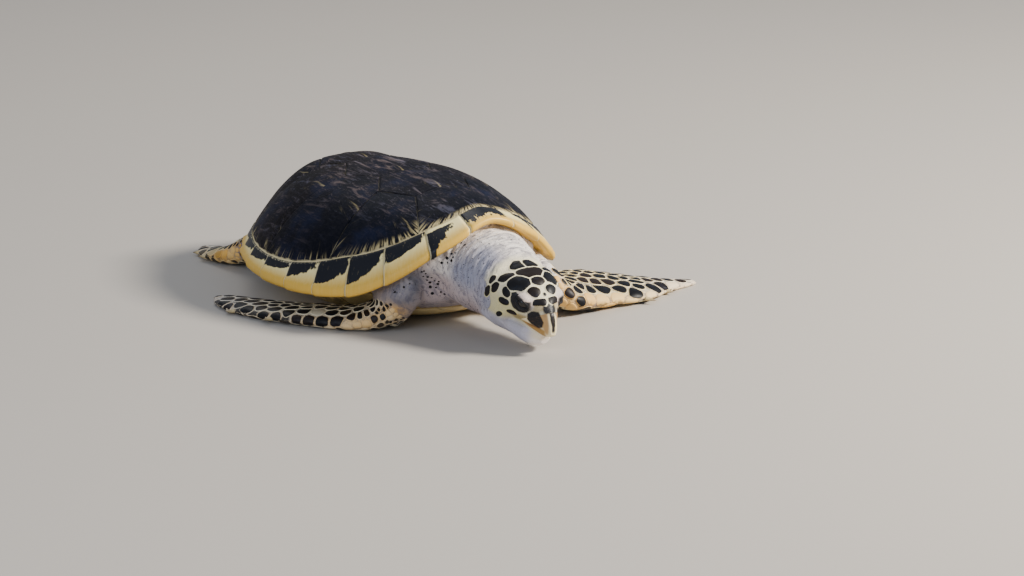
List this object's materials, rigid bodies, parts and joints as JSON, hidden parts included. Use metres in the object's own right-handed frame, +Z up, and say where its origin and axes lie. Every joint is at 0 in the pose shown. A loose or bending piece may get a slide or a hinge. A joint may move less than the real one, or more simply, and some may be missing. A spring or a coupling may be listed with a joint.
{
  "type": "hawksbill sea turtle",
  "caption": "Life-size still model of a half-grown hawksbill sea turtle resting on its plastron, head lowered, one front flipper swept back and the other spread.",
  "frame": {"origin": "on the floor under the middle of the shell, on the plastron's flat face", "axes": "+X forwards along the shell to the head, +Y to the animal's left, +Z up"},
  "size_m": [0.6671, 0.5783, 0.167],
  "materials": {
    "shell": "glossy horn",
    "plastron": "satin horn",
    "skin": "fine wrinkled skin",
    "scaled_skin": "smooth scales",
    "beak": "satin horn",
    "eye": "wet gloss"
  },
  "bodies": {
    "root": {"carapace": "shell", "plastron": "plastron", "torso": "skin", "neck": "skin", "head": "scaled_skin", "upper_beak": "beak", "lower_jaw": "beak", "eye_left": "eye", "eye_right": "eye", "upper_arm_right": "skin", "front_flipper_right": "scaled_skin", "upper_arm_left": "skin", "front_flipper_left": "scaled_skin", "thigh_right": "skin", "hind_flipper_right": "scaled_skin", "thigh_left": "skin", "hind_flipper_left": "scaled_skin", "tail": "skin"}
  },
  "joints": []
}
